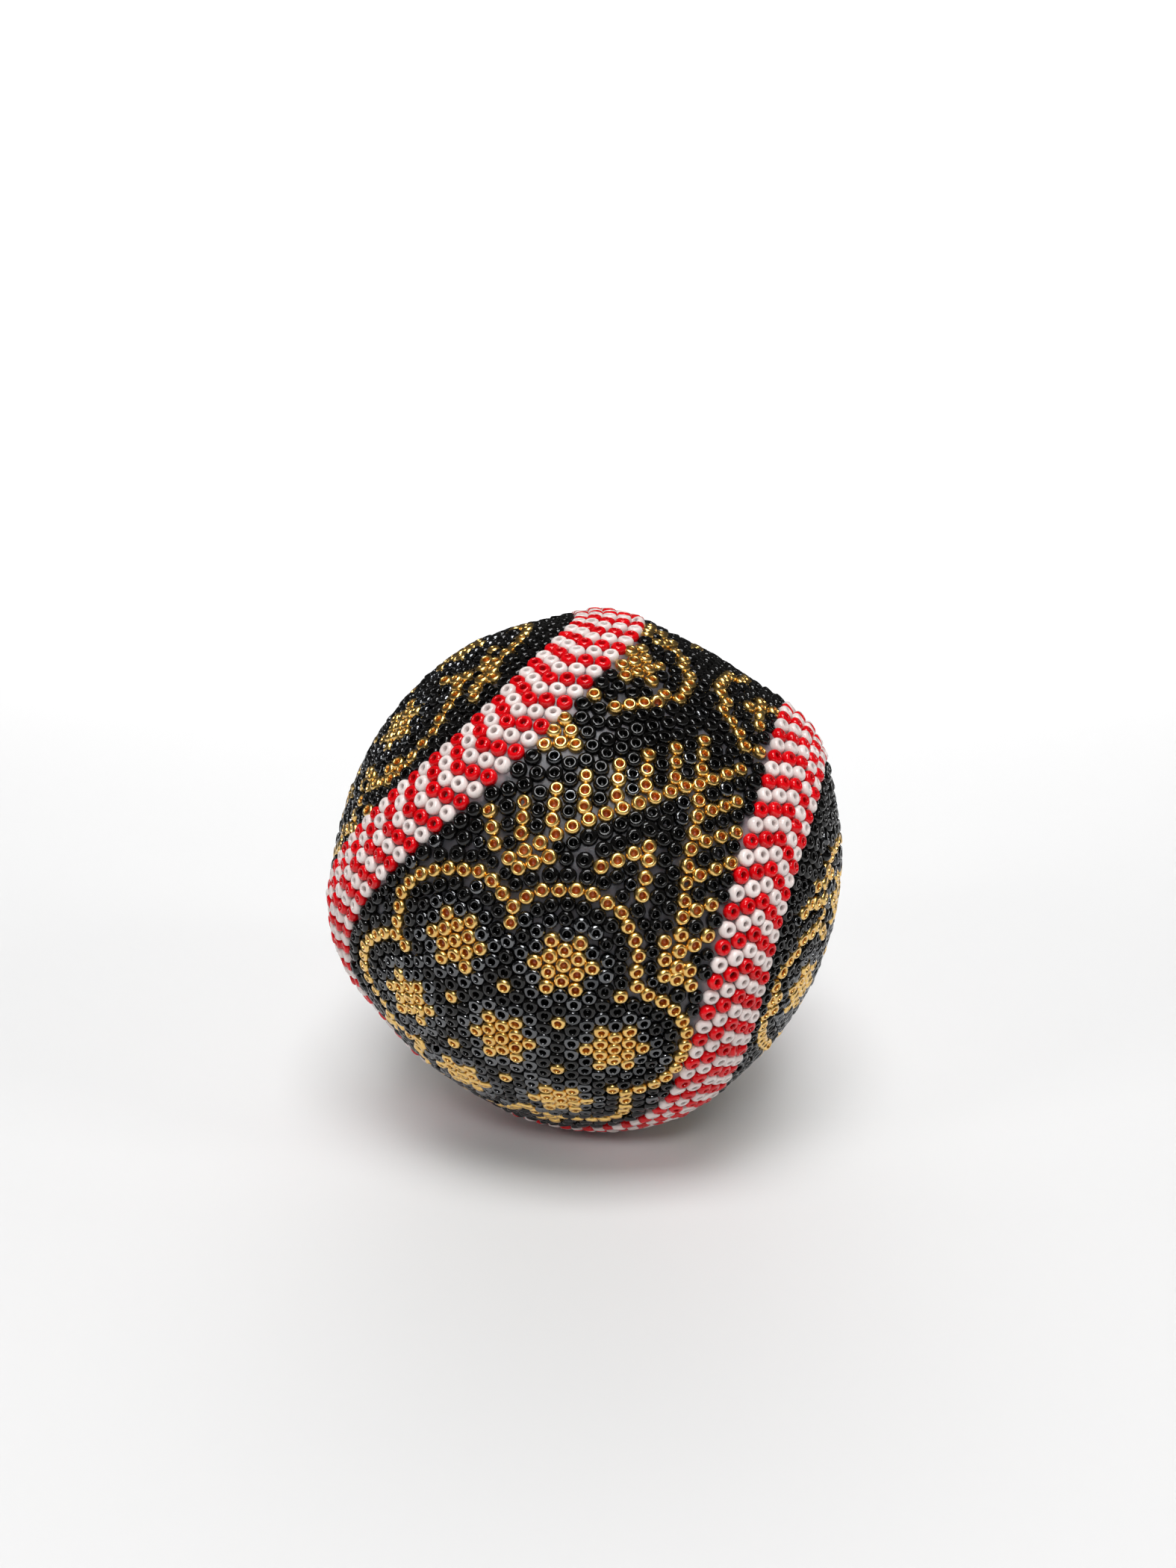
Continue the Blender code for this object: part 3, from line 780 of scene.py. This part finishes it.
def ramp(tree, factor, stops):
    """Colour ramp over a factor; stops are (position, colour)."""
    node = tree.nodes.new("ShaderNodeValToRGB")
    while len(node.color_ramp.elements) > 1:
        node.color_ramp.elements.remove(node.color_ramp.elements[-1])
    for index, (position, colour) in enumerate(stops):
        element = node.color_ramp.elements[0] if index == 0 else node.color_ramp.elements.new(position)
        element.position = position
        element.color = (*colour, 1)
    tree.links.new(factor, node.inputs["Fac"])
    return node.outputs["Color"]


def mixed(tree, factor, first, second):
    """Colour between a first and a second one."""
    node = tree.nodes.new("ShaderNodeMix")
    node.data_type = "RGBA"
    tree.links.new(factor, node.inputs[0])
    for socket, value in ((node.inputs[6], first), (node.inputs[7], second)):
        if isinstance(value, tuple):
            socket.default_value = (*value, 1)
        else:
            tree.links.new(value, socket)
    return node.outputs[2]


def noise(tree, scale, detail=2.0, roughness=0.5):
    """Cloudy 0 to 1 factor."""
    node = tree.nodes.new("ShaderNodeTexNoise")
    node.inputs["Scale"].default_value = scale
    node.inputs["Detail"].default_value = detail
    node.inputs["Roughness"].default_value = roughness
    where = tree.nodes.new("ShaderNodeTexCoord")
    tree.links.new(where.outputs["Object"], node.inputs["Vector"])
    return node.outputs["Fac"]


def spread(tree, factor, low, high):
    """Map a 0 to 1 factor to a range."""
    node = tree.nodes.new("ShaderNodeMapRange")
    node.inputs["To Min"].default_value = low
    node.inputs["To Max"].default_value = high
    tree.links.new(factor, node.inputs["Value"])
    return node.outputs["Result"]


def bumped(tree, shader, height, distance, strength=1.0):
    """Give a shader a bumpy surface."""
    node = tree.nodes.new("ShaderNodeBump")
    node.inputs["Strength"].default_value = strength
    node.inputs["Distance"].default_value = distance
    tree.links.new(height, node.inputs["Height"])
    tree.links.new(node.outputs["Normal"], shader.inputs["Normal"])


def bead_glass(name, tones, bore, roughness, metallic=0.0, shine=0.5, subsurface=0.0, coat=0.0):
    """Glass bead: its tone differs from bead to bead, and the bore colour paints shade into its hole."""
    material, tree, shader = new_material(name)
    count = len(tones)
    stops = [(i / max(1, count - 1), tone) for i, tone in enumerate(tones)]
    body = ramp(tree, attribute(tree, "tone"), stops)
    # Painted shade: down in the hole the colour turns to the bore colour.
    colour = mixed(tree, attribute(tree, "bore"), body, bore)
    tree.links.new(colour, shader.inputs["Base Color"])
    smear = noise(tree, 1400, 3.0)
    tree.links.new(spread(tree, smear, *roughness), shader.inputs["Roughness"])
    shader.inputs["Metallic"].default_value = metallic
    shader.inputs["Specular IOR Level"].default_value = shine
    shader.inputs["Coat Weight"].default_value = coat
    shader.inputs["Coat Roughness"].default_value = 0.1
    if subsurface:
        shader.inputs["Subsurface Weight"].default_value = subsurface
        shader.inputs["Subsurface Scale"].default_value = 0.0006
        shader.inputs["Subsurface Radius"].default_value = (1.0, 0.6, 0.5)
    return material


def gilt_hole_shade_and_reflection_material():
    """Painted shade and painted orange reflection on the floor of the gilt beads' holes."""
    material, tree, shader = new_material("gilt_hole_shade_and_reflection")
    # Orange-brown painted shade and reflection, a little different from bead to bead.
    stops = [(0.0, (0.30, 0.045, 0.006)), (0.6, (0.42, 0.08, 0.01)), (1.0, (0.46, 0.13, 0.03))]
    body = ramp(tree, attribute(tree, "tone"), stops)
    tree.links.new(body, shader.inputs["Base Color"])
    tree.links.new(spread(tree, noise(tree, 2600), 0.25, 0.45), shader.inputs["Roughness"])
    return material


def wax_material():
    """Wax painted dark for the shade between the beads, cloudy, and lighter and pinker where it lies between
    the red and white beads.
    """
    material, tree, shader = new_material("beeswax_coat")
    cloud = noise(tree, 220, 5.0, 0.6)
    fine = noise(tree, 2600, 3.0, 0.6)
    # Painted shade: the wax gets a dark colour for the shade it lies in between the beads.
    body = ramp(tree, cloud, [(0.3, (0.032, 0.030, 0.034)), (0.7, (0.085, 0.08, 0.09))])
    # Lighter and pinker wax beside the red and white beads.
    beside_band = mixed(tree, attribute(tree, "beside_band"), body, (0.21, 0.155, 0.165))
    tree.links.new(beside_band, shader.inputs["Base Color"])
    tree.links.new(spread(tree, fine, 0.25, 0.55), shader.inputs["Roughness"])
    bumped(tree, shader, fine, 0.00008, 0.6)
    shader.inputs["Subsurface Weight"].default_value = 0.2
    shader.inputs["Subsurface Scale"].default_value = 0.0008
    return material


# The kinds of bead glass: tones, the colour of the painted shade in the hole and the range of roughness


def jet_glass():
    tones = [(0.002, 0.0018, 0.0016), (0.005, 0.0046, 0.0042)]
    return bead_glass("jet_glass", tones, (0.001, 0.001, 0.001), (0.04, 0.09), shine=0.42)


def hematite_glass():
    tones = [(0.075, 0.077, 0.08), (0.165, 0.168, 0.173)]
    return bead_glass("hematite_glass", tones, (0.01, 0.01, 0.01), (0.12, 0.2), metallic=1.0)


def gilt_glass():
    tones = [(0.77, 0.47, 0.12), (0.86, 0.56, 0.17), (0.81, 0.51, 0.14)]
    # Painted orange shade and reflection down the sides of the gilt beads' holes.
    bore = (0.60, 0.22, 0.04)
    return bead_glass("gilt_glass", tones, bore, (0.24, 0.34), metallic=1.0, coat=0.7)


def red_glass():
    tones = [(0.56, 0.001, 0.004), (0.68, 0.002, 0.006)]
    bore = (0.22, 0.0, 0.001)
    return bead_glass("red_glass", tones, bore, (0.08, 0.16), shine=0.4, subsurface=0.03)


def white_glass():
    # The pink in these tones is partly painted red light bounced from the red beads beside them.
    tones = [(0.68, 0.59, 0.565), (0.77, 0.68, 0.65)]
    return bead_glass("white_glass", tones, (0.36, 0.28, 0.27), (0.10, 0.18), subsurface=0.1)


BEAD_GLASS = {
    JET: jet_glass,
    HEMATITE: hematite_glass,
    GOLD: gilt_glass,
    RED: red_glass,
    WHITE: white_glass,
}


# ---- pieces ----


def add_piece(name, mesh, materials, slot, *nodes):
    """A piece of the ball, with the CAD nodes that it stands for."""
    obj = bpy.data.objects.new(name, mesh)
    bpy.context.scene.collection.objects.link(obj)
    for material in materials:
        obj.data.materials.append(material)
    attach(obj, "root")
    if nodes:
        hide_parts(*nodes)
    return obj


WAIST_HALF = 58  # degrees along a panel from its middle to its lobes


def region_names(points, offsets):
    """The lobe or waist that each bead belongs to."""
    names = np.empty(len(points), object)
    for panel, inside_panel in (("a", offsets > 0), ("b", offsets <= 0)):
        local = points @ PANEL_TURNS[panel]
        along = np.degrees(np.arctan2(local[:, 1], local[:, 2]))
        names[inside_panel] = f"waist_{panel}"
        names[inside_panel & (along < -WAIST_HALF)] = f"{panel}1"
        names[inside_panel & (along > WAIST_HALF)] = f"{panel}2"
    return names


def replaced_nodes(kind, region):
    """CAD nodes that a bead piece stands for."""
    if region.startswith("waist"):
        return [f"waist_field_{region[-1]}"] if kind == JET else []
    if kind == GOLD:
        return [f"gold_border_{region}"] + [f"gold_flower_{region}_{i}" for i in range(1, 8)]
    return [f"flower_field_{region}"] if kind == JET else []


def make_beads(layout):
    """A piece for the band's white and its red beads, and for each kind in each lobe and waist."""
    paint = {kind: make() for kind, make in BEAD_GLASS.items()}
    gilt_hole_shade_and_reflection = gilt_hole_shade_and_reflection_material()
    offsets = seam_offset(layout.points)
    regions = region_names(layout.points, offsets)

    def add_beads(name, kind, chosen, slot, *nodes):
        mesh = bead_mesh(name, layout.points[chosen], kind, offsets[chosen], layout.sizes[chosen])
        coats = [paint[kind], gilt_hole_shade_and_reflection] if kind == GOLD else [paint[kind]]
        add_piece(name, mesh, coats, slot, *nodes)

    for kind in (WHITE, RED):
        name = f"{KIND_NAMES[kind]}_band_beads"
        add_beads(name, kind, layout.kinds == kind, "red_white_beads", "seam_band_beads")
    for region in sorted(set(regions)):
        for kind in (JET, HEMATITE, GOLD):
            chosen = (layout.kinds == kind) & (regions == region)
            slot = "gold_beads" if kind == GOLD else "black_beads"
            name = f"{KIND_NAMES[kind]}_beads_{region}"
            add_beads(name, kind, chosen, slot, *replaced_nodes(kind, region))


WAX_SUBDIVISIONS = 7
WAX_DEPTH = 0.92 * MM  # the wax lies this far under the bead tops
WAX_RISE = 0.12 * MM
RISE_START = 0.42  # how far from the nearest bead's middle the wax starts to rise, in pitches
RISE_WIDTH = 0.2


def make_wax(layout):
    """The wax between the beads: a closed skin that rises a little in the gaps."""
    bpy.ops.mesh.primitive_ico_sphere_add(subdivisions=WAX_SUBDIVISIONS, radius=1.0)
    shell = bpy.context.object
    mesh = shell.data
    mesh.name = "wax_skin"
    points = np.empty(len(mesh.vertices) * 3, np.float32)
    mesh.vertices.foreach_get("co", points)
    points = unit(points.reshape(-1, 3).astype(float))
    offsets = seam_offset(points)
    nearest = np.empty(len(points))
    # Whether the nearest bead is red or white, for the lighter wax beside the band.
    beside_band = np.empty(len(points))
    banded = layout.kinds >= RED
    for start in range(0, len(points), SPOT_CHUNK):
        cosine = points[start : start + SPOT_CHUNK] @ layout.points.T
        best = np.argmax(cosine, axis=1)
        nearest[start : start + SPOT_CHUNK] = cosine[np.arange(len(best)), best]
        beside_band[start : start + SPOT_CHUNK] = banded[best]
    gap = np.degrees(angles(nearest)) / PITCH
    rise = np.clip((gap - RISE_START) / RISE_WIDTH, 0, 1) * WAX_RISE
    radius = bead_top(points, offsets) - WAX_DEPTH + rise
    verts = (points * radius[:, None]) @ SEAM_TURN.T
    mesh.vertices.foreach_set("co", verts.astype(np.float32).ravel())
    layer = mesh.attributes.new("beside_band", "FLOAT", "POINT")
    layer.data.foreach_set("value", beside_band.astype(np.float32))
    mesh.shade_smooth()
    bpy.data.objects.remove(shell, do_unlink=True)
    add_piece("wax_skin", mesh, [wax_material()], "beeswax", "wax_bed_a", "wax_bed_b", "wax_ridge")


# ---- the baseball inside ----


def inner_material(name, low, high, scale, roughness, bump):
    """Plain procedural material of a part inside the ball."""
    material, tree, shader = new_material(name)
    grain = noise(tree, scale, 4.0, 0.6)
    tree.links.new(ramp(tree, grain, [(0.3, low), (0.7, high)]), shader.inputs["Base Color"])
    tree.links.new(spread(tree, grain, *roughness), shader.inputs["Roughness"])
    bumped(tree, shader, grain, bump)
    return material


INSIDE_COATS = {  # dark and light colour, scale of the grain, range of roughness, height of the grain
    "cork_grain": ((0.28, 0.15, 0.07), (0.52, 0.33, 0.18), 900, (0.7, 0.95), 0.0002),
    "black_rubber_skin": ((0.012, 0.012, 0.013), (0.03, 0.03, 0.032), 1500, (0.5, 0.7), 5e-5),
    "red_rubber_skin": ((0.34, 0.03, 0.025), (0.5, 0.07, 0.06), 1500, (0.45, 0.65), 5e-5),
    "grey_yarn": ((0.28, 0.27, 0.26), (0.48, 0.47, 0.45), 1200, (0.85, 1.0), 0.0003),
    "white_yarn": ((0.62, 0.60, 0.54), (0.84, 0.82, 0.77), 1400, (0.85, 1.0), 0.0002),
    "white_leather": ((0.70, 0.67, 0.60), (0.86, 0.83, 0.77), 1800, (0.4, 0.6), 8e-5),
    "red_thread_twist": ((0.45, 0.02, 0.02), (0.66, 0.05, 0.05), 4000, (0.5, 0.7), 6e-5),
}
INSIDE_PARTS = {  # the coat of the CAD nodes whose names start so
    "cork_core": "cork_grain",
    "black_rubber": "black_rubber_skin",
    "red_rubber": "red_rubber_skin",
    "rubber_gasket": "red_rubber_skin",
    "winding_1": "grey_yarn",
    "winding_2": "white_yarn",
    "winding_3": "grey_yarn",
    "winding_4": "white_yarn",
    "leather_panel": "white_leather",
    "lacing_thread": "red_thread_twist",
}


def finish_inside():
    """Coat the CAD parts inside the ball."""
    coats = {name: inner_material(name, *look) for name, look in INSIDE_COATS.items()}
    for name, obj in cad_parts.items():
        for start, coat in INSIDE_PARTS.items():
            if name.startswith(start):
                obj.data.materials.clear()
                obj.data.materials.append(coats[coat])


# ---- studio ----


CAMERA_ELEVATION = math.radians(20)
CAMERA_DISTANCE = 201.4 * MM
SENSOR = 24.0
LENS = 19.165
CAMERA_SHIFT = 0.0554
FLOOR_FRONT = -2.0  # the stage's profile, in metres from the ball
BEND_START = 0.5
BEND = 1.0
BACKDROP_HEIGHT = 2.6
BEND_STEPS = 16
STAGE_HALF_WIDTH = 3.0


def stage_sheet(name, profile, material):
    """A wide sheet through (y, z) points, for the floor and the backdrop."""
    verts = [(x, y, z) for y, z in profile for x in (-STAGE_HALF_WIDTH, STAGE_HALF_WIDTH)]
    faces = [(2 * i, 2 * i + 1, 2 * i + 3, 2 * i + 2) for i in range(len(profile) - 1)]
    mesh = bpy.data.meshes.new(name)
    mesh.from_pydata(verts, [], faces)
    mesh.shade_smooth()
    mesh.materials.append(material)
    sheet = bpy.data.objects.new(name, mesh)
    bpy.context.scene.collection.objects.link(sheet)
    return sheet


def make_stage():
    """A pale floor that curves up into a backdrop, which the glass doesn't mirror."""
    floor_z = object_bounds()[0][2]
    curve = [(BEND_START, floor_z)]
    for i in range(1, BEND_STEPS + 1):
        angle = math.pi / 2 * i / BEND_STEPS
        curve.append((BEND_START + BEND * math.sin(angle), floor_z + BEND - BEND * math.cos(angle)))
    curve.append((BEND_START + BEND, floor_z + BACKDROP_HEIGHT))
    material, tree, shader = new_material("pale_floor")
    shader.inputs["Base Color"].default_value = (0.72, 0.72, 0.72, 1)
    shader.inputs["Roughness"].default_value = 0.6
    stage_sheet("floor", [(FLOOR_FRONT, floor_z), (BEND_START, floor_z)], material)
    backdrop = stage_sheet("backdrop", curve, material)
    backdrop.visible_glossy = False


def area_light(name, place, aim, size, power, mirrored=True):
    """A softbox; the glass shows its reflection only where mirrored is set."""
    light = bpy.data.lights.new(name, "AREA")
    light.shape = "RECTANGLE"
    light.size, light.size_y = size
    light.energy = power
    obj = bpy.data.objects.new(name, light)
    obj.location = place
    obj.rotation_euler = (Vector(aim) - Vector(place)).to_track_quat("-Z", "Y").to_euler()
    obj.visible_glossy = mirrored
    bpy.context.scene.collection.objects.link(obj)


def make_lights():
    """Softboxes over and before the ball, weaker ones at its sides, and one that lights the backdrop."""
    ball = (0, 0, 0)
    area_light("overhead_softbox", (0.0, -0.28, 0.85), ball, (0.5, 0.36), 6.5)
    area_light("front_softbox", (0.0, -0.75, 0.68), ball, (0.3, 0.16), 3.0)
    area_light("left_softbox", (-0.8, -0.5, 0.45), ball, (0.2, 0.3), 1.4, mirrored=False)
    area_light("right_softbox", (0.8, -0.35, 0.45), ball, (0.2, 0.3), 1.3, mirrored=False)
    area_light("backdrop_softbox", (0.0, 0.5, 1.3), (0.0, 1.5, 0.9), (1.8, 0.5), 52)
    world = bpy.data.worlds.new("studio")
    world.use_nodes = True
    world.node_tree.nodes["Background"].inputs["Color"].default_value = (1, 1, 1, 1)
    world.node_tree.nodes["Background"].inputs["Strength"].default_value = 0.05
    bpy.context.scene.world = world
    bpy.context.scene.view_settings.view_transform = "Standard"


def make_camera():
    """The camera at the photograph's viewing angle."""
    camera = bpy.data.cameras.new("camera")
    camera.sensor_fit = "VERTICAL"
    camera.sensor_height = SENSOR
    camera.lens = LENS
    camera.shift_y = CAMERA_SHIFT
    camera.clip_start = 0.01
    obj = bpy.data.objects.new("camera", camera)
    away = Vector((0, -math.cos(CAMERA_ELEVATION), math.sin(CAMERA_ELEVATION)))
    obj.location = away * CAMERA_DISTANCE
    obj.rotation_euler = (math.pi / 2 - CAMERA_ELEVATION, 0, 0)
    bpy.context.scene.collection.objects.link(obj)
    bpy.context.scene.camera = obj


def main():
    """Lay the beads, make every piece and set the stage."""
    layout = lay_beads()
    make_beads(layout)
    make_wax(layout)
    finish_inside()
    make_stage()
    make_lights()
    make_camera()


main()
